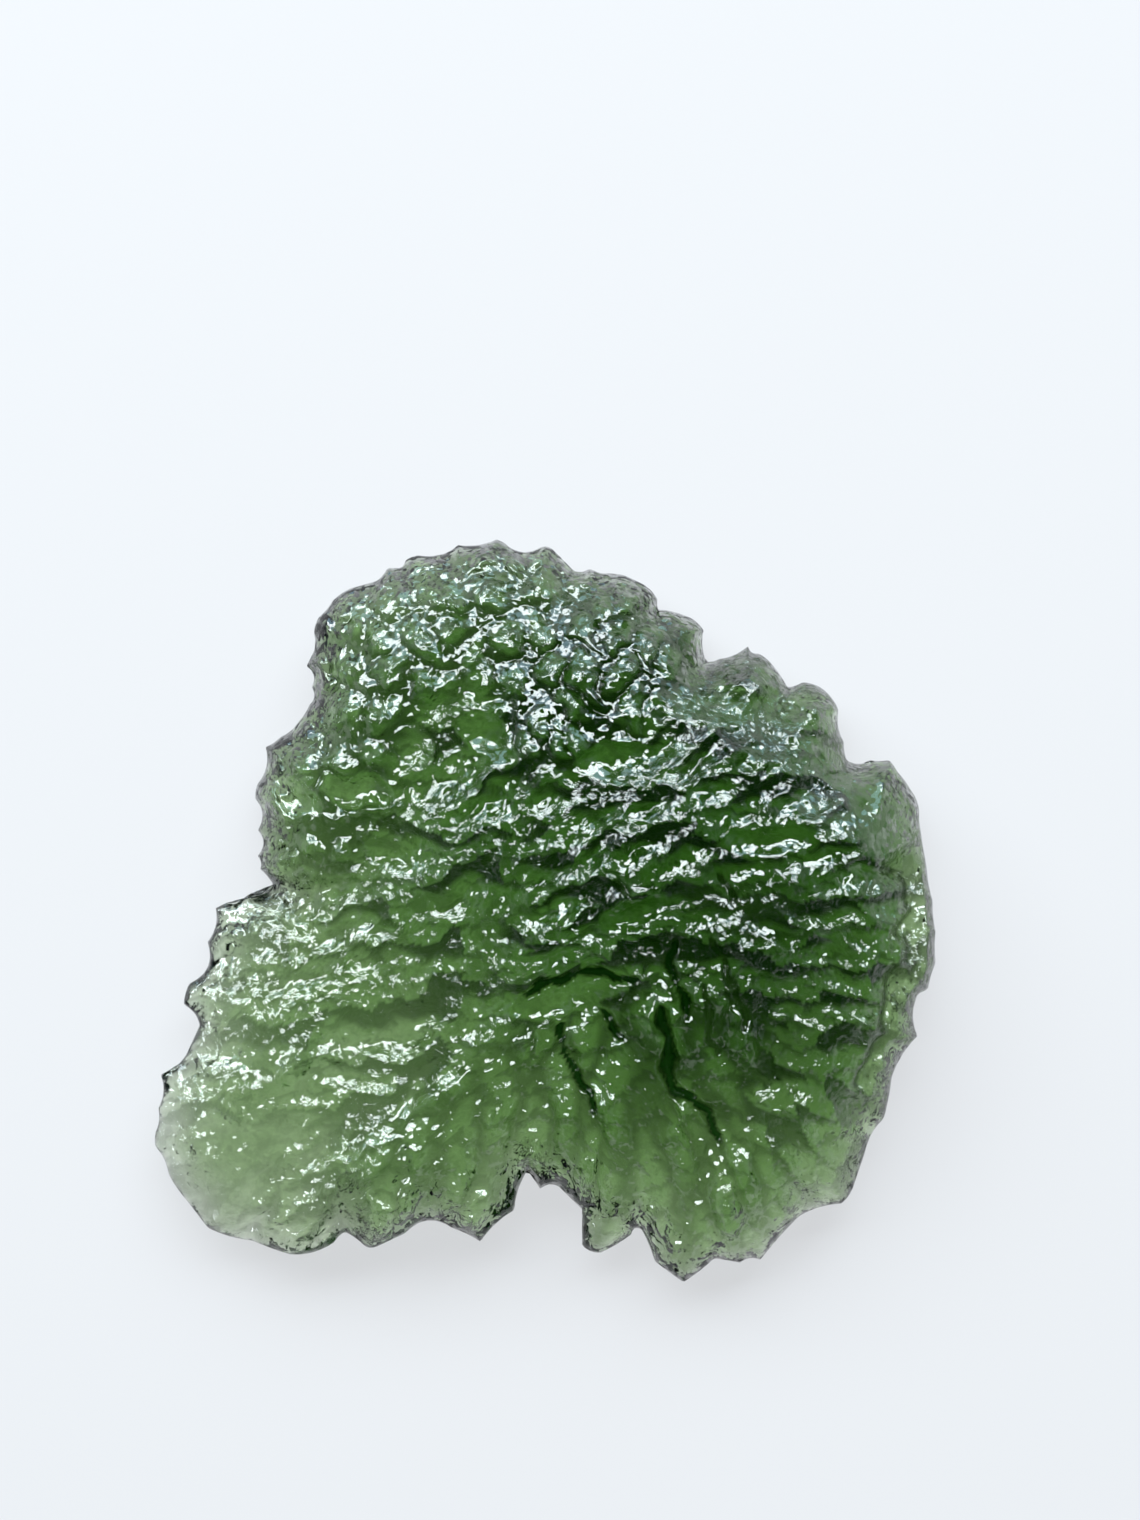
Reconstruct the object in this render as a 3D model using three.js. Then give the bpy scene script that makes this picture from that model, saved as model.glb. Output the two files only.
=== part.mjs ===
import * as THREE from "three";

// Moldavite: one flat, leaf-shaped piece of natural green glass, all of one melt. Ground acids have
// etched its skin into furrows with sharp crests, which overlap like scales. They run across the left,
// fan out to the right and the foot, cut the rim into teeth, and turn to lumps along the top.
// Millimetres, +Z up. The stone lies on its back, and its front faces up. The origin is under the
// middle of the outline, on the surface that the stone rests on.

// Driving dimensions
const RIM_HEIGHT = 1.2; // the rim above the resting surface
const RIM_SWAY = 0.3; // how far the rim wanders up and down

// The swell of the two sides from the rim. The front's height is in millimetres, and the back's is a
// share of the rim's height, so it is worn flat where it passes 1. The base is the share of the height
// that the whole leaf has, and the rest is a hill about x, y. The bevel is how far in from the rim the
// side goes on thickening, and the fullness is the power of its round profile.
const CROWN = {
  x: 6.6, y: 3.4, height: 6.3, base: 0.25, reachX: 13.2, reachY: 10.8, bevel: 3.2, fullness: 0.6,
};
const BELLY = {
  x: 1.5, y: 0.5, height: 1.2, base: 0.35, reachX: 16, reachY: 15, bevel: 3, fullness: 0.75,
};
const HEART = { x: 2.6, y: 3.0 }; // the middle that the rim is seen from all round

// The rim's corners, anticlockwise: [x, y, bite]. The bite is how far the arc from a corner to the
// next one is hollowed, and a negative bite swells.
const OUTLINE = [
  // Right flank, going up
  [15.0, -0.8, 0.04], [14.9, 0.4, 0.04], [14.7, 1.6, 0], [14.4, 3.5, -0.12],
  [14.1, 4.6, -0.04], [13.5, 5.4, -0.04], [13.2, 5.8, 0.04], [12.5, 5.8, 0.15],
  // Two stepped lobes of the right shoulder
  [11.6, 5.8, 0.04], [11.5, 6.5, 0.12], [11.3, 7.7, -0.1], [10.6, 8.6, -0.04],
  [9.9, 8.8, 0.04], [9.3, 8.6, -0.04], [8.7, 9.5, -0.04], [8.2, 9.9, 0.12],
  [7.8, 10.2, 0.1], [6.7, 9.7, 0.04], [6.2, 9.6, 0.1], [6.1, 10.8, -0.1],
  [5.3, 11.4, -0.04], [4.3, 11.6, 0], [4.3, 12.0, -0.1], [3.5, 12.7, -0.1],
  // Top, with round lumps
  [2.3, 13.0, 0.04], [1.7, 13.2, 0.08], [1.1, 13.1, 0], [0.3, 13.9, -0.08],
  [-0.2, 14.0, 0.19], [-1.4, 14.0, -0.04], [-1.9, 14.3, 0.12], [-3.4, 14.1, 0.08],
  [-4.2, 13.7, 0.04], [-4.9, 13.7, -0.04], [-5.4, 13.5, 0.04], [-5.6, 13.2, 0],
  [-6.1, 13.2, 0.04], [-6.5, 12.7, 0], [-7.5, 12.4, -0.04], [-8.2, 11.9, 0.04],
  // Left flank, going down its teeth
  [-8.7, 11.3, -0.04], [-8.9, 10.7, 0.04], [-8.9, 10.0, 0], [-9.2, 9.4, 0.19],
  [-9.0, 8.6, 0.15], [-9.1, 7.9, 0.04], [-9.5, 7.3, 0.08], [-10.2, 6.7, 0.04],
  [-10.8, 6.3, 0.19], [-11.1, 4.9, -0.04], [-11.2, 4.3, 0.23], [-11.1, 3.1, 0.23],
  [-11.1, 2.1, 0.08], [-11.0, 1.6, 0.04], [-10.5, 1.0, 0.08], [-10.8, 0.7, 0.08],
  [-11.5, 0.6, 0.12], [-12.3, 0.3, 0], [-12.7, 0.1, 0.15], [-13.0, -1.2, 0.39],
  [-13.7, -2.8, -0.04], [-13.9, -3.6, 0.12], [-13.3, -4.4, 0], [-13.8, -5.5, 0.12],
  [-14.8, -6.3, 0.15], [-14.9, -7.6, 0.08], [-15.0, -8.5, -0.04], [-15.0, -9.1, 0.1],
  // Left lobe of the foot
  [-14.5, -10.1, -0.04], [-13.8, -11.1, 0], [-13.0, -12.2, -0.1], [-11.3, -12.7, -0.04],
  [-9.8, -13.2, -0.15], [-8.1, -12.7, 0.04], [-7.7, -12.3, 0.04], [-7.0, -12.8, -0.08],
  [-6.5, -12.9, 0], [-5.4, -12.4, 0.39], [-3.6, -12.2, 0.04], [-2.5, -12.7, 0.1],
  // Broken notch with one loose tooth
  [-1.2, -11.5, 0.1], [-0.7, -10.0, 0], [-0.2, -10.7, 0.12], [0.5, -10.6, 0],
  [1.4, -11.5, 0], [1.4, -12.9, -0.08], [2.1, -13.2, -0.04], [3.3, -12.5, 0.15],
  // Right lobe of the foot
  [3.7, -12.3, 0.04], [4.2, -13.5, 0], [5.3, -14.3, -0.04], [6.5, -13.4, 0],
  [7.5, -13.6, 0.12], [8.3, -13.5, 0.04], [9.8, -11.8, 0.1], [11.4, -11.3, -0.08],
  // Right flank again, up to the start
  [11.9, -10.5, 0], [12.3, -9.3, 0.12], [13.0, -8.0, -0.04], [13.3, -6.4, 0.12],
  [14.3, -4.8, 0.19], [14.3, -3.2, 0], [14.7, -3.0, 0.04], [15.0, -2.0, 0.04],
];
const ARC_BITE = 0.1; // a bite as deep as this is drawn with a point in the middle of its arc

// The run of the furrows: [x, y, direction in degrees, length over width, kind of etching]
const GRAIN = [
  [-9.5, -1.5, 14, 4.0, "broad"], [-12.2, -7.7, 8, 3.6, "broad"], [-9.1, 4.3, 8, 1.9, "lumps"],
  [-3.7, 0.4, 19, 4.0, "broad"], [2.1, 2.3, 26, 3.2, "narrow"], [-6.4, 10.0, 130, 1.5, "lumps"],
  [-1.8, 12.7, 105, 1.4, "lumps"], [3.6, 11.2, 75, 1.5, "lumps"], [0.6, 8.3, 105, 1.6, "lumps"],
  [7.5, 6.6, 35, 3.0, "narrow"], [11.0, 5.8, 25, 2.6, "narrow"], [11.0, 1.9, 4, 3.2, "narrow"],
  [10.2, -2.3, -22, 3.2, "narrow"], [9.4, -6.4, -50, 3.2, "narrow"], [5.6, -10.4, -80, 3.6, "flutes"],
  [1.7, -6.5, 92, 4.0, "flutes"], [-3.6, -9.6, 85, 3.6, "flutes"], [-9.8, -10.8, 55, 2.8, "narrow"],
  [-3.0, 6.0, 28, 2.8, "broad"], [-8.0, 7.5, 150, 1.6, "lumps"], [-6.5, -5.0, 15, 3.8, "broad"],
  [0.3, -1.2, 27, 3.2, "narrow"], [7.8, -1.6, -18, 3.0, "narrow"], [6.6, -4.8, -74, 3.6, "flutes"],
];
const GRAIN_SOFTNESS = 0.5; // keeps a row's weight finite at its own place
const KIND_SHARPNESS = 3; // how sharply one kind of etching gives way to the next

// Etching by kind: mean distance from one hollow or lump to the next, the least and the greatest
// depth, the wave length and the amount of the waver in its crests, and where its scatter starts
const ETCHING = {
  broad: { pitch: 3.0, shallow: 0.4, deep: 0.8, wave: 4.1, waver: 0.22, seed: 1000 },
  narrow: { pitch: 2.0, shallow: 0.35, deep: 0.7, wave: 3.1, waver: 0.12, seed: 2000 },
  flutes: { pitch: 2.2, shallow: 0.25, deep: 0.5, wave: 3.1, waver: 0.08, seed: 4000 },
  lumps: { pitch: 1.5, shallow: 0.35, deep: 0.6, wave: 2.0, waver: 0.13, seed: 3000 },
};
const JITTER = 0.8; // share of the pitch over which a hollow's middle is scattered
const OVERLAP = 0.4; // hollows are deepest and lumps highest towards one side, like scales
const CREST_SHARPNESS = 1.25; // the power of a hollow's profile
const LUMP_FULLNESS = 2.2; // the power of a lump's profile
const BACK_ETCHING = 0.5; // the back's etching is this share as deep
const ETCHING_FADE = 0.8; // the etching dies out over this distance from the rim

// Spoon-shaped bites in the front: middle, half length, half width, direction, depth, and how smooth
const SCOOPS = [
  { x: 8.1, y: 7.2, long: 2.3, wide: 1.3, turn: -15, depth: 1, polish: 0.15 },
  { x: 12.8, y: 3.8, long: 1.7, wide: 1.5, turn: 70, depth: 0.7, polish: 1 },
  { x: 8.3, y: 2.8, long: 2.1, wide: 0.6, turn: 3, depth: 0.6, polish: 1 },
  { x: 0.8, y: -2.95, long: 2.6, wide: 0.8, turn: 18, depth: 0.6, polish: 1 },
  { x: 3.3, y: 0.1, long: 1.5, wide: 0.6, turn: 20, depth: 0.6, polish: 1 },
  { x: -2.1, y: 6.6, long: 1.4, wide: 0.8, turn: 140, depth: 0.6, polish: 1 },
  { x: -7, y: 4.6, long: 1.4, wide: 0.75, turn: -8, depth: 0.6, polish: 1 },
  { x: -9.4, y: 4.4, long: 1.1, wide: 0.7, turn: -30, depth: 0.4, polish: 1 },
  { x: 2.5, y: 5.8, long: 1.4, wide: 0.75, turn: 10, depth: 0.6, polish: 1 },
  { x: -11.5, y: -9.2, long: 4.5, wide: 3.2, turn: 15, depth: 0.6, polish: 0.2 },
  { x: 7.2, y: 0.6, long: 2.8, wide: 1.1, turn: -4, depth: 0.3, polish: 0.12 },
];
const SCOOP_POLISH = 0.75; // share of the etching that is gone inside a scoop
const SCOOP_BORDER = 0.35; // how far in from a scoop's border the polish is whole

// Deep gashes in the front, each along a line of points
const GASHES = [
  { halfWidth: 1.3, depth: 1.3, line: [[4.8, -0.9], [4.7, -1.9], [4.6, -4.9], [4.7, -6.3]] },
  { halfWidth: 1.1, depth: 0.9, line: [[4.9, -6.6], [5.5, -6.8], [6.0, -7.5], [6.6, -8.5]] },
  { halfWidth: 1.1, depth: 0.8, line: [[0.6, -4.2], [0.9, -5.8], [1.8, -6.7], [1.9, -7.4]] },
];

// A terrace along the right flank, outside the thick body. It runs where the rim is to the right of x
// and between the two heights, and it fades out over the last stretch.
const TERRACE = { x: 8, low: -9, high: 3, fade: 1.5, width: 1.2, rise: 2, step: 4 };

// The worn spot that the stone rests on, where the back has no hollows
const RESTING_SPOT = { x: 1.5, y: 0.5, radius: 4, fade: 1.5 };

const RING_CROWDING = 1.15; // the mesh's rings crowd towards the rim
const CALM_SPAN = 8; // an inner ring follows the mean of the rim over this many points each way
const CALM_POWER = 4; // how fast the rings take on the rim's teeth as they near it

const GLASS = new THREE.MeshStandardMaterial({ color: 0x4c7a38, roughness: 0.15, metalness: 0 });

const { degToRad, lerp, clamp, smoothstep } = THREE.MathUtils;

// The rim's points: every corner, and the middle of each arc that bites deep
function makeRim() {
  const points = [];
  OUTLINE.forEach(([x, y, bite], index) => {
    const corner = new THREE.Vector2(x, y);
    points.push(corner);
    if (Math.abs(bite) < ARC_BITE) return;
    const [nextX, nextY] = OUTLINE[(index + 1) % OUTLINE.length];
    const chord = new THREE.Vector2(nextX - x, nextY - y);
    const inward = new THREE.Vector2(-chord.y, chord.x).normalize();
    points.push(corner.clone().addScaledVector(chord, 0.5).addScaledVector(inward, bite));
  });
  return points;
}

// The rim with its teeth evened out
function calmed(rim) {
  return rim.map((_, index) => {
    const mean = new THREE.Vector2();
    for (let step = -CALM_SPAN; step <= CALM_SPAN; step++) {
      mean.add(rim[(index + step + rim.length) % rim.length]);
    }
    return mean.divideScalar(2 * CALM_SPAN + 1);
  });
}

const RIM = makeRim();
const CALM_RIM = calmed(RIM);

// A point on a ring of points: turn goes from 0 to 1, once round
function ringAt(ring, turn) {
  const place = turn * ring.length;
  const index = Math.floor(place);
  const from = ring[index % ring.length];
  const to = ring[(index + 1) % ring.length];
  return from.clone().lerp(to, place - index);
}

// The distance from a point to the rim, and the nearest place on the rim
function toRim(point) {
  const start = new THREE.Vector3();
  const end = new THREE.Vector3();
  const place = new THREE.Vector3();
  const nearest = { distance: Infinity, x: 0, y: 0 };
  RIM.forEach((from, index) => {
    const to = RIM[(index + 1) % RIM.length];
    new THREE.Line3(start.set(from.x, from.y, 0), end.set(to.x, to.y, 0))
      .closestPointToPoint(point, true, place);
    const distance = place.distanceTo(point);
    if (distance < nearest.distance) Object.assign(nearest, { distance, x: place.x, y: place.y });
  });
  return nearest;
}

// A repeatable scatter: each whole number has its own value from 0 to 1
function scatter(index) {
  const value = Math.sin(index * 12.9898 + 4.1414) * 43758.5453;
  return value - Math.floor(value);
}

// The grain at a point, as a mean of the rows of GRAIN that counts the nearest most, and the share of
// each kind of etching there. Directions are doubled, because a furrow runs both ways.
function grainAt(x, y) {
  const sum = { cos: 0, sin: 0, stretch: 0, weight: 0 };
  const shares = { broad: 0, narrow: 0, flutes: 0, lumps: 0 };
  for (const [grainX, grainY, degrees, stretch, kind] of GRAIN) {
    const weight = ((x - grainX) ** 2 + (y - grainY) ** 2 + GRAIN_SOFTNESS) ** -1.5;
    sum.cos += weight * Math.cos(2 * degToRad(degrees));
    sum.sin += weight * Math.sin(2 * degToRad(degrees));
    sum.stretch += weight * stretch;
    sum.weight += weight;
    shares[kind] += weight;
  }
  let whole = 0;
  for (const kind in shares) {
    shares[kind] = (shares[kind] / sum.weight) ** KIND_SHARPNESS;
    whole += shares[kind];
  }
  for (const kind in shares) shares[kind] /= whole;
  return { turn: Math.atan2(sum.sin, sum.cos) / 2, stretch: sum.stretch / sum.weight, shares };
}

// A point pushed about by four waves, so that crests waver
function wavered(x, y, wave, waver, phase) {
  const k = (2 * Math.PI) / wave;
  const shiftX =
    Math.sin(k * (0.92 * y + 0.31 * x) + phase) +
    0.6 * Math.sin(k * 1.9 * (0.8 * x - 0.55 * y) + 2.1 * phase);
  const shiftY =
    Math.sin(k * (0.95 * x - 0.25 * y) + 1.7 + phase) +
    0.6 * Math.sin(k * 2.1 * (0.6 * x + 0.85 * y) + 0.7 * phase);
  return [x + waver * shiftX, y + waver * shiftY];
}

// The hollow or lump of one kind at a row and a column of its grid. Side 0 is the front, 1 the back.
const hollowsMade = new Map();
function hollowAt(kind, side, row, column) {
  const { pitch, shallow, deep, seed } = ETCHING[kind];
  const index = seed + side * 20000 + (row + 200) * 1203 + (column + 200) * 3;
  if (!hollowsMade.has(index)) {
    const x = (column + JITTER * (scatter(index) - 0.5)) * pitch;
    const y = (row + JITTER * (scatter(index + 1) - 0.5)) * pitch;
    const depth = lerp(shallow, deep, scatter(index + 2));
    const { turn, stretch } = grainAt(x, y);
    hollowsMade.set(index, { x, y, depth, cos: Math.cos(turn), sin: Math.sin(turn), stretch });
  }
  return hollowsMade.get(index);
}

// How far out from the middle of its hollow a point is, from 0 to 1 on the crest, the hollow's depth,
// and how far the point lies to the hollow's deep side, from -1 to 1
function inHollow(x, y, kind, side) {
  const { pitch, wave, waver } = ETCHING[kind];
  const once = wavered(x, y, wave, waver, 0.4 + side);
  const [bentX, bentY] = wavered(...once, wave / 2.4, waver / 2.4, 1.3 + side);
  const row = Math.round(bentY / pitch);
  const column = Math.round(bentX / pitch);
  let nearest = Infinity;
  let second = Infinity;
  let depth = 0;
  let upward = 0;
  for (let down = -3; down <= 3; down++) {
    for (let across = -3; across <= 3; across++) {
      const hollow = hollowAt(kind, side, row + down, column + across);
      const dx = bentX - hollow.x;
      const dy = bentY - hollow.y;
      const distance = Math.hypot(
        (dx * hollow.cos + dy * hollow.sin) / hollow.stretch,
        dy * hollow.cos - dx * hollow.sin,
      );
      if (distance < nearest) {
        second = nearest;
        nearest = distance;
        depth = hollow.depth;
        upward = dy;
      } else if (distance < second) {
        second = distance;
      }
    }
  }
  return { outward: (2 * nearest) / (nearest + second), depth, lean: clamp((2 * upward) / pitch, -1, 1) };
}

// How deep the etching goes at a point. Hollows go down from their crests, and flutes and lumps stand up.
function etching(x, y, side) {
  const { shares } = grainAt(x, y);
  let cut = 0;
  for (const kind in shares) {
    const { outward, depth, lean } = inHollow(x, y, kind, side);
    const hollowed = depth * (1 - outward ** CREST_SHARPNESS) * (1 + OVERLAP * lean);
    const raised = depth * (1 - outward ** LUMP_FULLNESS) * (1 - OVERLAP * lean);
    const stands = kind === "lumps" || kind === "flutes";
    cut += shares[kind] * (stands ? -raised : hollowed);
  }
  return cut;
}

// How deep the scoops go at a point, and how far inside one it is, from 0 to 1
function scooping(x, y) {
  let depth = 0;
  let inside = 0;
  for (const scoop of SCOOPS) {
    const cos = Math.cos(degToRad(scoop.turn));
    const sin = Math.sin(degToRad(scoop.turn));
    const dx = x - scoop.x;
    const dy = y - scoop.y;
    const along = (dx * cos + dy * sin) / scoop.long;
    const across = (dy * cos - dx * sin) / scoop.wide;
    const within = Math.max(0, 1 - along ** 2 - across ** 2);
    depth += scoop.depth * within;
    inside = Math.max(inside, scoop.polish * within);
  }
  return { depth, inside };
}

// How deep the gashes go at a point
function gashing(point) {
  const nearest = new THREE.Vector3();
  let depth = 0;
  for (const gash of GASHES) {
    const corners = gash.line.map(([x, y]) => new THREE.Vector3(x, y, 0));
    for (let i = 1; i < corners.length; i++) {
      new THREE.Line3(corners[i - 1], corners[i]).closestPointToPoint(point, true, nearest);
      const offset = Math.min(nearest.distanceTo(point) / gash.halfWidth, 1);
      depth = Math.max(depth, gash.depth * (1 - offset ** 2) ** 2);
    }
  }
  return depth;
}

// The height of the sheet that the front and the back swell from, which holds the rim
function sheetHeight(x, y) {
  return RIM_HEIGHT + RIM_SWAY * (Math.sin(0.23 * x + 0.31 * y + 0.5) + 0.6 * Math.sin(0.9 * x - 0.7 * y));
}

// The share of its height that a side has at a distance from the rim
function swelling(x, y, side, distance) {
  const hill = Math.exp(-(((x - side.x) / side.reachX) ** 2) - ((y - side.y) / side.reachY) ** 2);
  const inward = Math.min(distance / side.bevel, 1);
  return lerp(hill, 1, side.base) * (1 - (1 - inward) ** 2) ** side.fullness;
}

// A swell less what is cut from it. However deep the cut, some of the swell is left.
function carved(swell, cut) {
  return swell * Math.exp(-cut / Math.max(swell, 0.01));
}

// The front: its swell, less what was etched, scooped and gashed out of it, and stepped at the terrace
function frontHeight(point) {
  const { x, y } = point;
  const rim = toRim(point);
  const swell = CROWN.height * swelling(x, y, CROWN, rim.distance);
  const scoops = scooping(x, y);
  const etched = etching(x, y, 0) * (1 - SCOOP_POLISH * smoothstep(scoops.inside, 0, SCOOP_BORDER));
  const cut = (etched + scoops.depth + gashing(point)) * smoothstep(rim.distance, 0, ETCHING_FADE);
  const rise = carved(swell, cut);
  const onTerrace =
    smoothstep(rim.x, TERRACE.x, TERRACE.x + TERRACE.fade) *
    smoothstep(rim.y, TERRACE.low, TERRACE.low + TERRACE.fade) *
    (1 - smoothstep(rim.y, TERRACE.high - TERRACE.fade, TERRACE.high));
  const ledge = TERRACE.rise + TERRACE.step * Math.max(0, rim.distance - TERRACE.width);
  return sheetHeight(x, y) + lerp(rise, Math.min(rise, ledge), onTerrace);
}

// The back: its swell with an etching of its own, worn flat where the stone rests
function backHeight(point) {
  const { x, y } = point;
  const { distance } = toRim(point);
  const sheet = sheetHeight(x, y);
  const fromSpot = Math.hypot(x - RESTING_SPOT.x, y - RESTING_SPOT.y);
  const rough = smoothstep(fromSpot, RESTING_SPOT.radius, RESTING_SPOT.radius + RESTING_SPOT.fade);
  const cut = BACK_ETCHING * etching(x, y, 1) * rough * smoothstep(distance, 0, ETCHING_FADE);
  const drop = carved(sheet * BELLY.height * swelling(x, y, BELLY, distance), cut);
  return Math.max(0, sheet - drop);
}

// How far round the middle a point of the octahedron lies: 0 at +X, a quarter at +Y, and on to 1
function turnOf(x, y) {
  const reach = Math.abs(x) + Math.abs(y);
  if (reach === 0) return 0;
  return y >= 0 ? (1 - x / reach) / 4 : (3 + x / reach) / 4;
}

// An octahedron whose equator has one point for each of the rim's. It is drawn out to the rim, its
// upper half becomes the front and its lower half the back.
function makeStone() {
  const shape = new THREE.OctahedronGeometry(1, RIM.length / 4 - 1);
  shape.deleteAttribute("normal");
  shape.deleteAttribute("uv");
  const position = shape.getAttribute("position");
  const point = new THREE.Vector3();
  for (let i = 0; i < position.count; i++) {
    const corner = new THREE.Vector3().fromBufferAttribute(position, i);
    corner.divideScalar(corner.manhattanLength());
    const turn = turnOf(corner.x, corner.y);
    const share = 1 - Math.abs(corner.z) ** RING_CROWDING;
    const edge = ringAt(CALM_RIM, turn).lerp(ringAt(RIM, turn), share ** CALM_POWER);
    point.set(lerp(HEART.x, edge.x, share), lerp(HEART.y, edge.y, share), 0);
    point.z = corner.z >= 0 ? frontHeight(point) : backHeight(point);
    position.setXYZ(i, point.x, point.y, point.z);
  }
  shape.computeVertexNormals();
  return shape;
}

const stone = new THREE.Mesh(makeStone(), GLASS);
stone.name = "moldavite";

const part = new THREE.Group();
part.add(stone);

export default part;
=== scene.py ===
from math import cos, radians, sin

import bmesh
import bpy
import numpy as np
from mathutils import Matrix, Vector


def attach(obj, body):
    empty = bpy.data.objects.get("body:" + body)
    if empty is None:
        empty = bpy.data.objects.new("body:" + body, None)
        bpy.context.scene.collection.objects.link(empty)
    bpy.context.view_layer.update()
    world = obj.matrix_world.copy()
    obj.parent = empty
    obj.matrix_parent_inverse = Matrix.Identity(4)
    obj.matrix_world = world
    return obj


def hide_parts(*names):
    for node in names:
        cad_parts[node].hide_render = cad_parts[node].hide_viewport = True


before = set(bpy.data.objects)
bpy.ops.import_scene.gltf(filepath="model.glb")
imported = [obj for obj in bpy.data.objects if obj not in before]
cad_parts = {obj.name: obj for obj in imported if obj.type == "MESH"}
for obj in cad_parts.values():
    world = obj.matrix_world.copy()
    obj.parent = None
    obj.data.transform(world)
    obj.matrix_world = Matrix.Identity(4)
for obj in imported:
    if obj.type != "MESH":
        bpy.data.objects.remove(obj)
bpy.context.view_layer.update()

# The camera
# The stone stood up in the photograph and lies on its back here, so the camera looks straight down
# on it. The frame is 58.5 mm high at the rim, and the stone sits below and left of its middle.
MM = 0.001
RIM_HEIGHT = 1.2
PICTURE_MIDDLE = (0.94 * MM, 5.80 * MM)
PICTURE_HEIGHT = 58.5 * MM
CAMERA_LENS = 85.0
SENSOR = 36.0
NEAREST_SEEN = 0.005
camera_data = bpy.data.cameras.new("camera")
camera_data.lens = CAMERA_LENS
camera_data.sensor_width = SENSOR
camera_data.clip_start = NEAREST_SEEN
camera = bpy.data.objects.new("camera", camera_data)
camera.location = (*PICTURE_MIDDLE, RIM_HEIGHT * MM + PICTURE_HEIGHT * CAMERA_LENS / SENSOR)
bpy.context.scene.collection.objects.link(camera)
bpy.context.scene.camera = camera

# The stone
# One flat, leaf-shaped piece of natural green glass. It cooled from a splash of melt, and ground
# acids then etched its skin into furrows with sharp crests. Its colour holds painted shade under
# them.

# Sizes here are in millimetres, on the front as it faces the camera. A side of the stone swells
# from its base share at the rim to its whole height over its middle, past a bevel along the rim.
RIM_SWAY = 0.3
CROWN = dict(
    x=6.6, y=3.4, reach_x=13.2, reach_y=10.8, height=6.3, base=0.25, bevel=3.2, fullness=0.6,
)
BELLY = dict(
    x=1.5, y=0.5, reach_x=16.0, reach_y=15.0, height=1.2, base=0.35, bevel=3.0, fullness=0.75,
)
THINNEST = 0.01

# The rim's corners, anticlockwise: x, y and the bite of the arc to the next corner
OUTLINE = (
    # Right flank, going up
    (15.0, -0.8, 0.04), (14.9, 0.4, 0.04), (14.7, 1.6, 0), (14.4, 3.5, -0.12),
    (14.1, 4.6, -0.04), (13.5, 5.4, -0.04), (13.2, 5.8, 0.04), (12.5, 5.8, 0.15),
    # Two stepped lobes of the right shoulder
    (11.6, 5.8, 0.04), (11.5, 6.5, 0.12), (11.3, 7.7, -0.1), (10.6, 8.6, -0.04),
    (9.9, 8.8, 0.04), (9.3, 8.6, -0.04), (8.7, 9.5, -0.04), (8.2, 9.9, 0.12),
    (7.8, 10.2, 0.1), (6.7, 9.7, 0.04), (6.2, 9.6, 0.1), (6.1, 10.8, -0.1),
    (5.3, 11.4, -0.04), (4.3, 11.6, 0), (4.3, 12.0, -0.1), (3.5, 12.7, -0.1),
    # Top, with round lumps
    (2.3, 13.0, 0.04), (1.7, 13.2, 0.08), (1.1, 13.1, 0), (0.3, 13.9, -0.08),
    (-0.2, 14.0, 0.19), (-1.4, 14.0, -0.04), (-1.9, 14.3, 0.12), (-3.4, 14.1, 0.08),
    (-4.2, 13.7, 0.04), (-4.9, 13.7, -0.04), (-5.4, 13.5, 0.04), (-5.6, 13.2, 0),
    (-6.1, 13.2, 0.04), (-6.5, 12.7, 0), (-7.5, 12.4, -0.04), (-8.2, 11.9, 0.04),
    # Left flank, going down its teeth
    (-8.7, 11.3, -0.04), (-8.9, 10.7, 0.04), (-8.9, 10.0, 0), (-9.2, 9.4, 0.19),
    (-9.0, 8.6, 0.15), (-9.1, 7.9, 0.04), (-9.5, 7.3, 0.08), (-10.2, 6.7, 0.04),
    (-10.8, 6.3, 0.19), (-11.1, 4.9, -0.04), (-11.2, 4.3, 0.23), (-11.1, 3.1, 0.23),
    (-11.1, 2.1, 0.08), (-11.0, 1.6, 0.04), (-10.5, 1.0, 0.08), (-10.8, 0.7, 0.08),
    (-11.5, 0.6, 0.12), (-12.3, 0.3, 0), (-12.7, 0.1, 0.15), (-13.0, -1.2, 0.39),
    (-13.7, -2.8, -0.04), (-13.9, -3.6, 0.12), (-13.3, -4.4, 0), (-13.8, -5.5, 0.12),
    (-14.8, -6.3, 0.15), (-14.9, -7.6, 0.08), (-15.0, -8.5, -0.04), (-15.0, -9.1, 0.1),
    # Left lobe of the foot
    (-14.5, -10.1, -0.04), (-13.8, -11.1, 0), (-13.0, -12.2, -0.1), (-11.3, -12.7, -0.04),
    (-9.8, -13.2, -0.15), (-8.1, -12.7, 0.04), (-7.7, -12.3, 0.04), (-7.0, -12.8, -0.08),
    (-6.5, -12.9, 0), (-5.4, -12.4, 0.39), (-3.6, -12.2, 0.04), (-2.5, -12.7, 0.1),
    # Broken notch with one loose tooth
    (-1.2, -11.5, 0.1), (-0.7, -10.0, 0), (-0.2, -10.7, 0.12), (0.5, -10.6, 0),
    (1.4, -11.5, 0), (1.4, -12.9, -0.08), (2.1, -13.2, -0.04), (3.3, -12.5, 0.15),
    # Right lobe of the foot
    (3.7, -12.3, 0.04), (4.2, -13.5, 0), (5.3, -14.3, -0.04), (6.5, -13.4, 0),
    (7.5, -13.6, 0.12), (8.3, -13.5, 0.04), (9.8, -11.8, 0.1), (11.4, -11.3, -0.08),
    # Right flank again, up to the start
    (11.9, -10.5, 0), (12.3, -9.3, 0.12), (13.0, -8.0, -0.04), (13.3, -6.4, 0.12),
    (14.3, -4.8, 0.19), (14.3, -3.2, 0), (14.7, -3.0, 0.04), (15.0, -2.0, 0.04),
)
ARC_STEPS = 8

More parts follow.
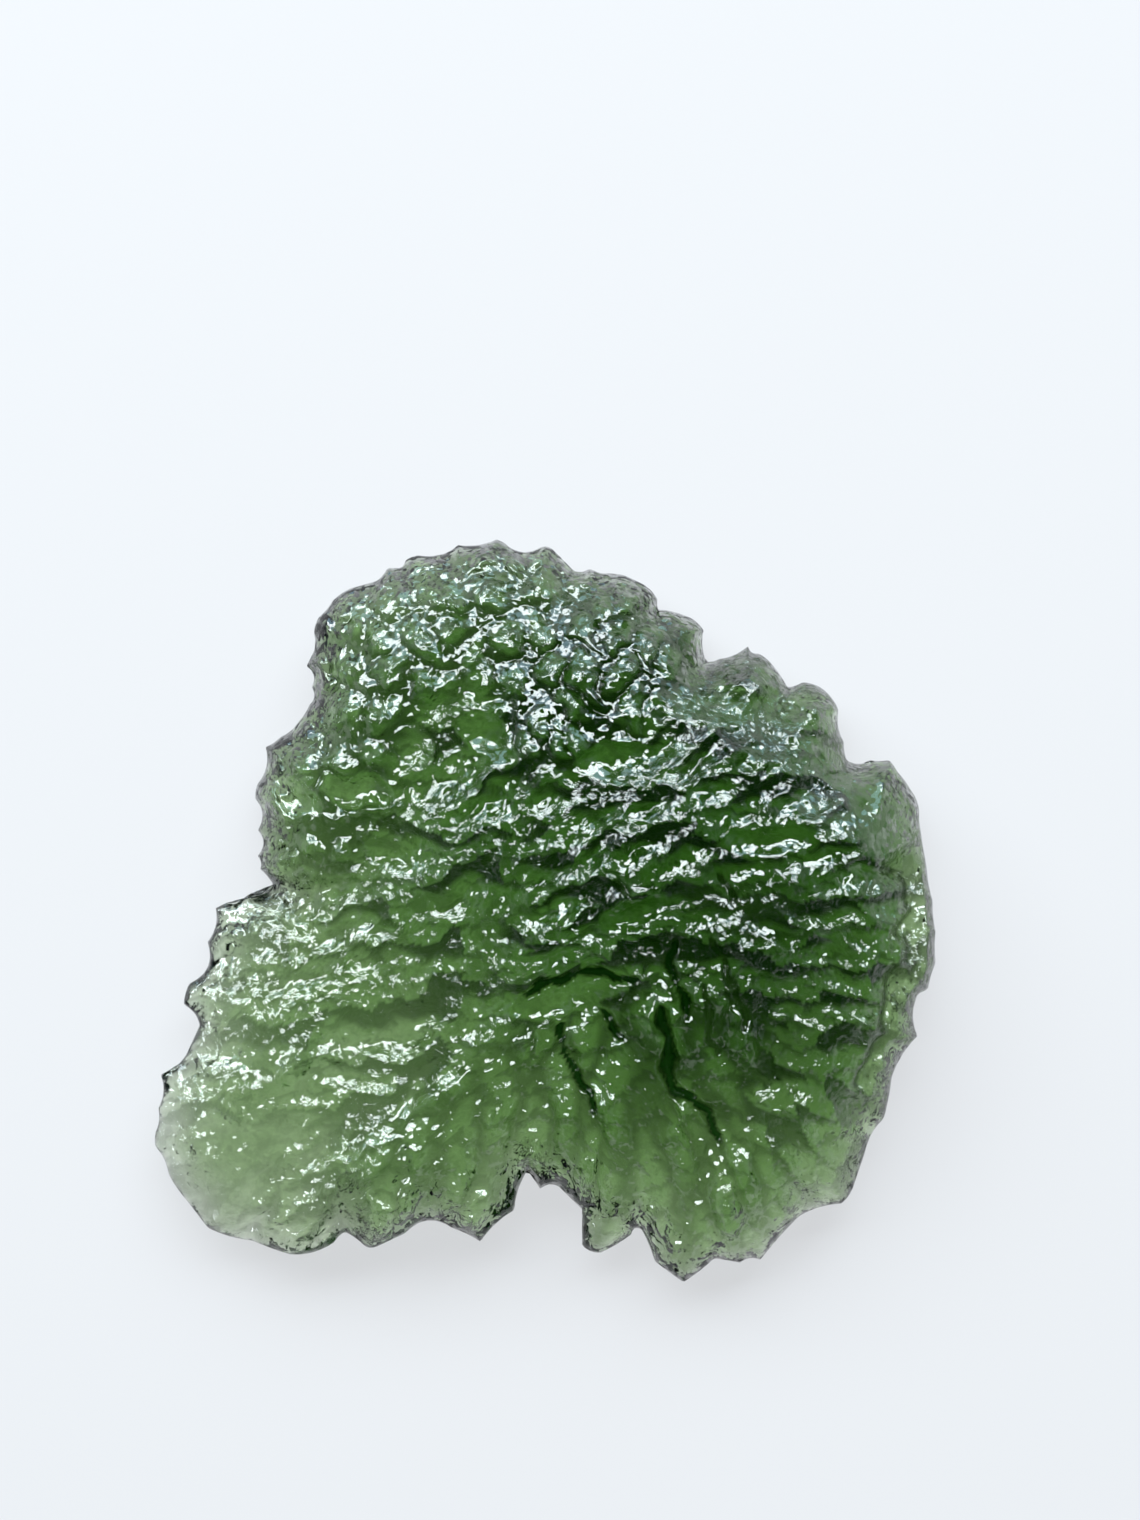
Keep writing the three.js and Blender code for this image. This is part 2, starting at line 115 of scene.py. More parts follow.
# The run of the furrows: x, y, direction in degrees, length over width, and the kind of etching
GRAIN = (
    (-9.5, -1.5, 14, 4.0, "broad"), (-12.2, -7.7, 8, 3.6, "broad"), (-9.1, 4.3, 8, 1.9, "lumps"),
    (-3.7, 0.4, 19, 4.0, "broad"), (2.1, 2.3, 26, 3.2, "narrow"), (-6.4, 10.0, 130, 1.5, "lumps"),
    (-1.8, 12.7, 105, 1.4, "lumps"), (3.6, 11.2, 75, 1.5, "lumps"), (0.6, 8.3, 105, 1.6, "lumps"),
    (7.5, 6.6, 35, 3.0, "narrow"), (11.0, 5.8, 25, 2.6, "narrow"), (11.0, 1.9, 4, 3.2, "narrow"),
    (10.2, -2.3, -22, 3.2, "narrow"), (9.4, -6.4, -50, 3.2, "narrow"),
    (5.6, -10.4, -80, 3.6, "flutes"), (1.7, -6.5, 92, 4.0, "flutes"),
    (-3.6, -9.6, 85, 3.6, "flutes"), (-9.8, -10.8, 55, 2.8, "narrow"),
    (-3.0, 6.0, 28, 2.8, "broad"), (-8.0, 7.5, 150, 1.6, "lumps"), (-6.5, -5.0, 15, 3.8, "broad"),
    (0.3, -1.2, 27, 3.2, "narrow"), (7.8, -1.6, -18, 3.0, "narrow"),
    (6.6, -4.8, -74, 3.6, "flutes"),
)
GRAIN_SOFTNESS = 0.5
GRAIN_FALL = 1.5
KIND_SHARPNESS = 3

# Etching by kind: pitch, shallowest and deepest hollow, share of the stretch, the size and amount
# of the waver in its crests, the number its scatter starts from, and how far out from their middle
# the painted shade starts and is whole, from 0 to 1, and its share. The shade is painted under each
# crest of a furrow, and in the gaps between lumps and flutes.
FURROWS = dict(
    broad=dict(
        pitch=3.0, shallow=0.4, deep=0.8, stretch=1.0, waver=(4.1, 0.22), seed=1000,
        painted_shade=(0.12, 0.42, 1.0),
    ),
    narrow=dict(
        pitch=2.0, shallow=0.35, deep=0.7, stretch=1.0, waver=(3.1, 0.12), seed=2000,
        painted_shade=(0.03, 0.3, 1.0),
    ),
    flutes=dict(
        pitch=2.2, shallow=0.25, deep=0.5, stretch=1.0, waver=(3.1, 0.08), seed=4000,
        painted_shade=(0.5, 0.95, 0.85),
    ),
    lumps=dict(
        pitch=1.5, shallow=0.35, deep=0.6, stretch=1.0, waver=(2.0, 0.13), seed=3000,
        painted_shade=(0.5, 0.9, 1.0),
    ),
)
RAISED = ("lumps", "flutes")
RIPPLES = dict(pitch=0.9, shallow=0.07, deep=0.24, stretch=0.2, waver=(1.3, 0.07), seed=5000)
PITS = dict(pitch=0.42, shallow=0.04, deep=0.14, stretch=0.0, waver=(0.7, 0.03), seed=9000)
FRONT, BACK = 0, 1
HALF_SPAN = 16
CELLS_ROUND = 3
JITTER = 0.8
FINER_WAVER = 2.4
WAVER_PHASES = (0.4, 1.3)
# Each hollow draws three numbers, counted from cell to cell, from row to row and from side to side
CELL_STRIDE, ROW_STRIDE, SIDE_STRIDE = 3, 1203, 20000
FIRST_CELL = -200

# The hollows are deepest and the lumps highest towards one side, so the skin overlaps like scales
OVERLAP = 0.6
CREST_SHARPNESS = 1.25
LUMP_FULLNESS = 2.2
LUMP_CALM = 0.7
PIT_SHARPNESS = 1.5
ETCHING_FADE = 0.8

# Spoon-shaped scoops: x, y, half length, half width, direction in degrees, depth and polish
SCOOPS = (
    (8.1, 7.2, 2.3, 1.3, -15, 1.0, 0.15), (12.8, 3.8, 1.7, 1.5, 70, 0.7, 1),
    (8.3, 2.8, 2.1, 0.6, 3, 0.6, 1), (0.8, -2.95, 2.6, 0.8, 18, 0.6, 1),
    (3.3, 0.1, 1.5, 0.6, 20, 0.6, 1), (-2.1, 6.6, 1.4, 0.8, 140, 0.6, 1),
    (-7.0, 4.6, 1.4, 0.75, -8, 0.6, 1), (-9.4, 4.4, 1.1, 0.7, -30, 0.4, 1),
    (2.5, 5.8, 1.4, 0.75, 10, 0.6, 1), (-11.5, -9.2, 4.5, 3.2, 15, 0.6, 0.2),
    (7.2, 0.6, 2.8, 1.1, -4, 0.3, 0.12),
)
SCOOP_BORDER = 0.35
SCOOP_POLISH = 0.75

# Gashes: half width, depth, and the points along each
GASHES = (
    (0.20, 1.0, ((4.8, -0.9), (4.7, -1.9), (5.0, -2.7), (5.3, -3.8))),
    (0.32, 1.6, ((4.4, -3.5), (4.6, -4.9), (4.7, -6.3), (4.9, -6.7))),
    (0.20, 0.9, ((4.9, -6.6), (5.5, -6.8), (6.0, -7.5), (6.6, -8.5))),
    (0.18, 0.7, ((0.6, -4.2), (0.7, -5.1), (0.9, -5.8), (1.4, -6.3), (1.8, -6.7), (1.9, -7.4))),
    (0.14, 0.4, ((-0.5, -4.4), (-0.5, -5.3))),
    (0.18, 0.6, ((2.2, -3.5), (2.4, -4.1), (2.8, -4.7))),
    (0.15, 0.5, ((5.9, -2.7), (6.1, -3.9), (6.4, -5.2))),
    (0.15, 0.5, ((6.2, -1.0), (6.5, -1.4), (7.1, -2.7), (7.4, -4.2))),
    (0.14, 0.4, ((7.2, -5.2), (8.0, -6.1), (8.3, -6.5))),
    (0.22, 0.9, ((-0.8, -3.1), (0.0, -2.6), (1.2, -2.15), (2.2, -2.15), (3.2, -2.4))),
    (0.18, 0.5, ((2.7, 1.3), (3.2, 0.8))),
    (0.18, 0.5, ((1.5, 0.9), (1.7, 0.2))),
    (0.2, 0.5, ((6.6, 1.4), (6.9, 0.7))),
)
# Painted shade in gashes: half width it spreads over, least darkness, where it starts and is whole
GASH_PAINTED_SHADE = dict(half_width=0.22, least=0.4, edge=(0.05, 0.4))

# The edges of the scoops and gashes waver: size, amount and phase
EDGE_WAVER = (1.9, 0.09, 2.2)
EDGE_TEAR = (0.8, 0.03, 0.9)

# A terrace along the right flank, with a line of painted shade where the body steps up from it.
# The step's waves have a size, a rate along the rim and a phase.
TERRACE = dict(x=8.0, low=-9.0, high=3.0, fade=1.5, width=1.2, rise=2.0, step=4.0)
TERRACE_WAVES = ((0.25, 2.3, 0), (0.15, 5.1, 1))
TERRACE_SHADE_LINE = dict(inward=0.15, width=0.18)

# The back is etched half as deep, and worn flat where the stone rests
RESTING_SPOT = dict(x=1.5, y=0.5, radius=4.0, fade=1.5)
BACK_ETCHING = 0.5
BACK_FROST = 0.3
BACK_MOTTLE = 0.5
BACK_SPARKLE = 0.4

# Painted shade on the front: its shares under the crests of furrows and ripples, less where the
# stone is thin, and in patches on the right and towards the top right. A climb has an amount, and
# the heights that it starts and ends at.
FURROW_PAINTED_SHADE = 0.985
RIPPLE_PAINTED_SHADE = 0.7
RIPPLE_EDGE = (0.2, 0.6)
THIN_PAINTED_SHADE = 0.6
THICKENING = (1.0, 4.5)
PAINTED_DARKENING_CLIMB = (0.35, 8, 12)
PAINTED_DARKENING_SLOPE = 0.75
PAINTED_DARKENING_PATCHES = (
    dict(x=7.5, y=0.3, reach_x=3.5, reach_y=2.2, share=0.65),
    dict(x=8.3, y=-4.6, reach_x=3.2, reach_y=2.6, share=0.65),
)
PAINTED_DARKENING_MOST = 0.8
# The random mottle's share, climbing with height as painted shade: darker up the body and top
MOTTLE_AND_PAINTED_SHADE = dict(least=0.3, body=(0.7, -10, 4), top=(0.4, 8, 13))

# The frost of the crests, and the sparkle, which is strongest towards the top and round the hub
# that the furrows fan out from
FROST_EDGE = (0.35, 0.8)
HUB = dict(x=1.0, y=-0.5, reach_x=4.5, reach_y=2.6)
SPARKLE = dict(least=0.45, frost=0.2, hub=0.45, top=(0.25, 9, 13))

# The mesh: the cuts of its first eight faces, a further cut of the front, and how its rings of
# points crowd towards the rim and grow calmer towards the heart of the stone
HEART = np.array((2.6, 3.0))
CUTS = (10, 2, 2)
FRONT_CUTS = 1
LEVEL = -1e-6
POLE_GUARD = 1e-9
RING_CROWDING = 1.15
CALM_POINTS = 600
CALM_REACH = 36
CALM_POWER = 4
# Skin layers: frost, painted shade, random mottle that climbs with height as painted shade, sparkle
SKIN_LAYERS = ("frost", "painted_shade", "mottle_and_painted_shade", "sparkle")


def make_rim():
    points = []
    for (x, y, bite), (next_x, next_y, _) in zip(OUTLINE, OUTLINE[1:] + OUTLINE[:1]):
        chord = np.array((next_x - x, next_y - y))
        inward = np.array((-chord[1], chord[0])) / np.hypot(*chord)
        for t in np.arange(ARC_STEPS) / ARC_STEPS:
            points.append((x, y) + t * chord + 4 * t * (1 - t) * bite * inward)
    return np.array(points)


RIM = make_rim()


def smoothstep(value, low, high):
    t = np.clip((value - low) / (high - low), 0, 1)
    return t * t * (3 - 2 * t)


def climb(value, amount, low, high):
    return amount * smoothstep(value, low, high)


def mound(x, y, spot):
    """A round hill, 1 over the spot and 0 far from it"""
    across = (x - spot["x"]) / spot["reach_x"]
    up = (y - spot["y"]) / spot["reach_y"]
    return np.exp(-across ** 2 - up ** 2)


def scatter(index):
    """A number from 0 to 1 for each index, the same in every run"""
    value = np.sin(index * 12.9898 + 4.1414) * 43758.5453
    return value - np.floor(value)


def waver(x, y, size, amount, phase):
    """The points, shifted by two crossing waves each way"""
    k = 2 * np.pi / size
    shift_x = np.sin(k * (0.92 * y + 0.31 * x) + phase)
    shift_x += 0.6 * np.sin(k * 1.9 * (0.8 * x - 0.55 * y) + 2.1 * phase)
    shift_y = np.sin(k * (0.95 * x - 0.25 * y) + 1.7 + phase)
    shift_y += 0.6 * np.sin(k * 2.1 * (0.6 * x + 0.85 * y) + 0.7 * phase)
    return x + amount * shift_x, y + amount * shift_y


def along(ring, turn):
    """The points that lie a share of the way round a ring"""
    closed = np.vstack((ring, ring[:1]))
    length = np.concatenate(([0], np.cumsum(np.hypot(*np.diff(closed, axis=0).T))))
    place = turn * length[-1]
    return np.column_stack([np.interp(place, length, closed[:, i]) for i in (0, 1)])


def from_lines(x, y, starts, ends):
    """How far each point is from the nearest of the lines, and the nearest place on it"""
    best = np.full(x.shape, np.inf)
    near_x = np.zeros(x.shape)
    near_y = np.zeros(x.shape)
    for (ax, ay), (bx, by) in zip(starts, ends):
        run_x, run_y = bx - ax, by - ay
        t = np.clip(((x - ax) * run_x + (y - ay) * run_y) / (run_x ** 2 + run_y ** 2), 0, 1)
        px, py = ax + t * run_x, ay + t * run_y
        distance = np.hypot(x - px, y - py)
        closer = distance < best
        best = np.where(closer, distance, best)
        near_x = np.where(closer, px, near_x)
        near_y = np.where(closer, py, near_y)
    return best, near_x, near_y


def grain_at(x, y):
    """The direction and stretch of the etching at each point, and the share of each kind"""
    turn_x = np.zeros(x.shape)
    turn_y = np.zeros(x.shape)
    stretched = np.zeros(x.shape)
    total = np.zeros(x.shape)
    kinds = {kind: np.zeros(x.shape) for kind in FURROWS}
    for grain_x, grain_y, degrees, stretch, kind in GRAIN:
        apart = (x - grain_x) ** 2 + (y - grain_y) ** 2
        weight = (apart + GRAIN_SOFTNESS) ** -GRAIN_FALL
        turn_x += weight * cos(2 * radians(degrees))
        turn_y += weight * sin(2 * radians(degrees))
        stretched += weight * stretch
        kinds[kind] += weight
        total += weight
    sharp = {kind: (weight / total) ** KIND_SHARPNESS for kind, weight in kinds.items()}
    whole = sum(sharp.values())
    shares = {kind: weight / whole for kind, weight in sharp.items()}
    return np.arctan2(turn_y, turn_x) / 2, stretched / total, shares


def hollows(x, y, scale, side):
    """How far out from a hollow's middle each point is, from 0 to 1 on the crest, the depth of
    the hollow, and how far the point is towards its deeper side"""
    pitch = scale["pitch"]
    reach = int(np.ceil(HALF_SPAN / pitch)) + CELLS_ROUND + 1
    steps = np.arange(-reach, reach + 1)
    rows, columns = np.meshgrid(steps, steps, indexing="ij")
    index = scale["seed"] + side * SIDE_STRIDE
    index = index + (rows - FIRST_CELL) * ROW_STRIDE + (columns - FIRST_CELL) * CELL_STRIDE
    middle_x = (columns + JITTER * (scatter(index) - 0.5)) * pitch
    middle_y = (rows + JITTER * (scatter(index + 1) - 0.5)) * pitch
    own_depth = scale["shallow"] + (scale["deep"] - scale["shallow"]) * scatter(index + 2)
    turn, stretch, _ = grain_at(middle_x, middle_y)
    stretch = 1 + (stretch - 1) * scale["stretch"]
    size, amount = scale["waver"]
    phase, finer_phase = WAVER_PHASES
    bent = waver(x, y, size, amount, phase + side)
    bent_x, bent_y = waver(*bent, size / FINER_WAVER, amount / FINER_WAVER, finer_phase + side)
    row = np.rint(bent_y / pitch).astype(int) + reach
    column = np.rint(bent_x / pitch).astype(int) + reach
    nearest = np.full(x.shape, np.inf)
    second = np.full(x.shape, np.inf)
    depth = np.zeros(x.shape)
    upward = np.zeros(x.shape)
    for down in range(-CELLS_ROUND, CELLS_ROUND + 1):
        for across in range(-CELLS_ROUND, CELLS_ROUND + 1):
            cell = (row + down, column + across)
            dx = bent_x - middle_x[cell]
            dy = bent_y - middle_y[cell]
            c, s = np.cos(turn[cell]), np.sin(turn[cell])
            distance = np.hypot((dx * c + dy * s) / stretch[cell], dy * c - dx * s)
            closer = distance < nearest
            second = np.where(closer, nearest, np.minimum(second, distance))
            depth = np.where(closer, own_depth[cell], depth)
            upward = np.where(closer, dy, upward)
            nearest = np.where(closer, distance, nearest)
    lean = OVERLAP * np.clip(2 * upward / pitch, -1, 1)
    return 2 * nearest / (nearest + second), depth, lean


def etching(x, y, side):
    """The depth of the etching, how far each point is up on a crest, and its painted shade"""
    _, _, shares = grain_at(x, y)
    cut = np.zeros(x.shape)
    crest = np.zeros(x.shape)
    painted_shade_film = np.zeros(x.shape)
    for kind, share in shares.items():
        outward, depth, lean = hollows(x, y, FURROWS[kind], side)
        start, whole, dark = FURROWS[kind]["painted_shade"]
        if kind in RAISED:
            cut -= share * depth * (1 - outward ** LUMP_FULLNESS) * (1 - lean)
            crest += share * (1 - outward)
            # Painted shade in the gaps between lumps and flutes
            painted_shade_film += share * dark * smoothstep(outward, start, whole)
        else:
            cut += share * depth * (1 - outward ** CREST_SHARPNESS) * (1 + lean)
            crest += share * outward
            # Painted shade on the deep side of each hollow, under the crest above it
            painted_shade_film += share * dark * smoothstep(outward * lean / OVERLAP, start, whole)
    return cut, crest, painted_shade_film


def rippling(x, y, side):
    """The depth of the ripples, and how far each point is down the deep side of one"""
    outward, depth, lean = hollows(x, y, RIPPLES, side)
    cut = depth * (1 - outward ** CREST_SHARPNESS) * (1 + lean)
    return cut, outward * lean / OVERLAP


def scooping(x, y):
    """The depth of the scoops, and how far their polish has come"""
    cut = np.zeros(x.shape)
    inside = np.zeros(x.shape)
    for scoop_x, scoop_y, long, wide, degrees, depth, polish in SCOOPS:
        c, s = cos(radians(degrees)), sin(radians(degrees))
        dx, dy = x - scoop_x, y - scoop_y
        within = 1 - ((dx * c + dy * s) / long) ** 2 - ((dy * c - dx * s) / wide) ** 2
        within = np.maximum(0, within)
        cut += depth * within
        inside = np.maximum(inside, polish * within)
    return cut, smoothstep(inside, 0.0, SCOOP_BORDER)


def gashing(x, y):
    """The depth of the gashes, and the painted shade in them"""
    cut = np.zeros(x.shape)
    painted_shade_film = np.zeros(x.shape)
    for half_width, depth, line in GASHES:
        offset, _, _ = from_lines(x, y, line[:-1], line[1:])
        cut = np.maximum(cut, depth * (1 - offset / half_width))
        inward = 1 - offset / max(half_width, GASH_PAINTED_SHADE["half_width"])
        dark = min(1, GASH_PAINTED_SHADE["least"] + depth)
        painted_shade_film = np.maximum(painted_shade_film, climb(inward, dark, *GASH_PAINTED_SHADE["edge"]))
    return cut, painted_shade_film


def terracing(distance, rim_x, rim_y):
    """How far each point is on the terrace, and how far in past its wavy step"""
    fade = TERRACE["fade"]
    share = smoothstep(rim_x, TERRACE["x"], TERRACE["x"] + fade)
    share *= smoothstep(rim_y, TERRACE["low"], TERRACE["low"] + fade)
    share *= 1 - smoothstep(rim_y, TERRACE["high"] - fade, TERRACE["high"])
    inward = distance
    for size, rate, phase in TERRACE_WAVES:
        inward = inward + size * np.sin(rate * rim_y + phase)
    return share, inward - TERRACE["width"]


def sheet_height(x, y):
    """The height of the rim, carried across the whole stone in slow waves"""
    sway = np.sin(0.23 * x + 0.31 * y + 0.5) + 0.6 * np.sin(0.9 * x - 0.7 * y)
    return RIM_HEIGHT + RIM_SWAY * sway


def swelling(x, y, side, distance):
    inward = np.minimum(distance / side["bevel"], 1)
    share = side["base"] + (1 - side["base"]) * mound(x, y, side)
    return share * (1 - (1 - inward) ** 2) ** side["fullness"]


def carved(swell, cut):
    """What a cut leaves of a swell, which never goes through the sheet"""
    return swell * np.exp(-cut / np.maximum(swell, THINNEST))


def front_skin(x, y):
    """The front's height, and its frost, painted shade, mottle with painted shade, and sparkle"""
    distance, rim_x, rim_y = from_lines(x, y, RIM, np.roll(RIM, -1, axis=0))
    swell = CROWN["height"] * swelling(x, y, CROWN, distance)
    bent = waver(x, y, *EDGE_WAVER)
    scooped, polished = scooping(*bent)
    gashed, gash_painted_shade = gashing(*waver(*bent, *EDGE_TEAR))
    furrows, crest, furrow_painted_shade = etching(x, y, FRONT)
    rippled, ripple_floor = rippling(x, y, FRONT)
    rippled *= 1 - LUMP_CALM * grain_at(x, y)[2]["lumps"]
    pit, pit_depth, _ = hollows(x, y, PITS, FRONT)
    pitted = pit_depth * (1 - pit ** PIT_SHARPNESS)
    etched = furrows + rippled + pitted
    cut = etched * (1 - SCOOP_POLISH * polished) + scooped + gashed
    rise = carved(swell, cut * smoothstep(distance, 0, ETCHING_FADE))
    on_terrace, up_step = terracing(distance, rim_x, rim_y)
    ledge = TERRACE["rise"] + TERRACE["step"] * np.maximum(0, up_step) - rippled - pitted
    rise += on_terrace * (np.minimum(rise, ledge) - rise)

    # Painted shade under the crests, in the gashes, along the terrace step and in darker patches
    ripple_painted_shade = RIPPLE_PAINTED_SHADE * smoothstep(ripple_floor, *RIPPLE_EDGE)
    painted_shade = (1 - (1 - FURROW_PAINTED_SHADE * furrow_painted_shade) * (1 - ripple_painted_shade)) * (1 - polished)
    painted_shade *= THIN_PAINTED_SHADE + (1 - THIN_PAINTED_SHADE) * smoothstep(swell, *THICKENING)
    painted_shade = np.maximum(gash_painted_shade, painted_shade)
    # A line of painted shade along the terrace's step
    from_line = (up_step - TERRACE_SHADE_LINE["inward"]) / TERRACE_SHADE_LINE["width"]
    painted_shade = np.maximum(painted_shade, on_terrace * np.exp(-from_line ** 2))
    # Painted shade in patches on the right and towards the top right
    painted_darkening = climb(y + PAINTED_DARKENING_SLOPE * x, *PAINTED_DARKENING_CLIMB)
    for patch in PAINTED_DARKENING_PATCHES:
        painted_darkening += patch["share"] * mound(x, y, patch)
    painted_shade = 1 - (1 - painted_shade) * (1 - np.minimum(painted_darkening, PAINTED_DARKENING_MOST))

    frost = smoothstep(crest, *FROST_EDGE) * (1 - polished)
    # The share of the random mottle, climbing with height as painted shade
    mottle_and_painted_shade = MOTTLE_AND_PAINTED_SHADE["least"] + climb(y, *MOTTLE_AND_PAINTED_SHADE["body"]) + climb(y, *MOTTLE_AND_PAINTED_SHADE["top"])
    sparkle = SPARKLE["least"] + SPARKLE["frost"] * frost + SPARKLE["hub"] * mound(x, y, HUB)
    sparkle += climb(y, *SPARKLE["top"])
    return sheet_height(x, y) + rise, frost, painted_shade, mottle_and_painted_shade, sparkle


def back_skin(x, y):
    """The back's height, and its frost, painted shade (none), mottle and sparkle"""
    distance, _, _ = from_lines(x, y, RIM, np.roll(RIM, -1, axis=0))
    sheet = sheet_height(x, y)
    swell = sheet * BELLY["height"] * swelling(x, y, BELLY, distance)
    from_spot = np.hypot(x - RESTING_SPOT["x"], y - RESTING_SPOT["y"])
    worn = RESTING_SPOT["radius"]
    rough = smoothstep(from_spot, worn, worn + RESTING_SPOT["fade"])
    furrows, crest, _ = etching(x, y, BACK)
    rippled, _ = rippling(x, y, BACK)
    cut = BACK_ETCHING * (furrows + rippled) * rough * smoothstep(distance, 0, ETCHING_FADE)
    height = np.maximum(0, sheet - carved(swell, cut))
    even = np.ones(x.shape)
    return height, BACK_FROST * crest * rough, 0 * even, BACK_MOTTLE * even, BACK_SPARKLE * even


def make_stone():
    bm = bmesh.new()
    bmesh.ops.create_uvsphere(bm, u_segments=4, v_segments=2, radius=1.0)
    for cuts in CUTS:
        bmesh.ops.subdivide_edges(bm, edges=bm.edges[:], cuts=cuts, use_grid_fill=True)
    front_edges = [edge for edge in bm.edges if min(end.co.z for end in edge.verts) > LEVEL]
    bmesh.ops.subdivide_edges(bm, edges=front_edges, cuts=FRONT_CUTS, use_grid_fill=True)
    corner = np.array([vertex.co for vertex in bm.verts])
    corner /= np.abs(corner).sum(axis=1)[:, None]
    out = np.maximum(np.abs(corner[:, 0]) + np.abs(corner[:, 1]), POLE_GUARD)
    swing = corner[:, 0] / out
    turn = np.where(corner[:, 1] >= 0, (1 - swing) / 4, (3 + swing) / 4)
    share = 1 - np.abs(corner[:, 2]) ** RING_CROWDING
    rim = along(RIM, turn)
    even = along(RIM, np.arange(CALM_POINTS) / CALM_POINTS)
    shifts = range(-CALM_REACH, CALM_REACH + 1)
    calm = sum(np.roll(even, shift, axis=0) for shift in shifts) / len(shifts)
    edge = along(calm, turn)
    edge += (rim - edge) * (share ** CALM_POWER)[:, None]
    x, y = (HEART + (edge - HEART) * share[:, None]).T
    front = corner[:, 2] > LEVEL
    skin = np.zeros((1 + len(SKIN_LAYERS), len(x)))
    skin[:, front] = front_skin(x[front], y[front])
    skin[:, ~front] = back_skin(x[~front], y[~front])
    for vertex, position in zip(bm.verts, np.column_stack((x, y, skin[0])) * MM):
        vertex.co = position
    bmesh.ops.recalc_face_normals(bm, faces=bm.faces[:])
    mesh = bpy.data.meshes.new("moldavite_stone")
    bm.to_mesh(mesh)
    bm.free()
    mesh.shade_smooth()
    for name, values in zip(SKIN_LAYERS, skin[1:]):
        layer = mesh.attributes.new(name, "FLOAT", "POINT")
        layer.data.foreach_set("value", values.astype(np.float32))
    return mesh


# The glass is clear, and its green deepens with thickness. The film between the furrows is specks
# and clouds: the size, detail and bend of their noise, where it starts and is whole, and its share.
GLASS_COLOUR = (0.28, 0.57, 0.04, 1.0)
GLASS_DENSITY = 600.0
GLASS_IOR = 1.49
CLEAN = (1.0, 1.0, 1.0, 1.0)
# The dark colour of the film, which carries the painted shade and the random mottle
SHADE_AND_MOTTLE_COLOUR = (0.002, 0.015, 0.002, 1.0)
SPECKS = dict(size=0.3, detail=4.0, bend=0.0, start=0.4, whole=0.7, share=0.45)
CLOUDS = dict(size=1.3, detail=1.0, bend=0.6, start=0.45, whole=0.62, share=0.6)

# The skin is glossy and a little rougher on frosted crests, with a grit that is strongest there. It
# is made of small facets, each tilted its own way, which break its glints into sparks.
ROUGHNESS = (0.06, 0.14)
GRIT = dict(size=0.2, detail=2.0, bend=0.0, height=0.09)
GRIT_STRENGTH = (0.15, 1.0)
FACET_SIZE = 0.22
FACET_MIDDLE = (0.5, 0.5, 0.5)


def layer_of(tree, name):
    node = tree.nodes.new("ShaderNodeAttribute")
    node.attribute_name = name
    return node.outputs["Fac"]


def noise(tree, place, grain):
    node = tree.nodes.new("ShaderNodeTexNoise")
    node.inputs["Scale"].default_value = 1 / (grain["size"] * MM)
    node.inputs["Detail"].default_value = grain["detail"]
    node.inputs["Distortion"].default_value = grain["bend"]
    tree.links.new(place, node.inputs["Vector"])
    return node.outputs["Fac"]


def ranged(tree, value, low, high, at_low, at_high):
    node = tree.nodes.new("ShaderNodeMapRange")
    node.inputs["From Min"].default_value = low
    node.inputs["From Max"].default_value = high
    node.inputs["To Min"].default_value = at_low
    node.inputs["To Max"].default_value = at_high
    tree.links.new(value, node.inputs["Value"])
    return node.outputs["Result"]


def combined(tree, kind, operation, *sources):
    node = tree.nodes.new(kind)
    node.operation = operation
    for entry, source in zip(node.inputs, sources):
        tree.links.new(source, entry)
    return node


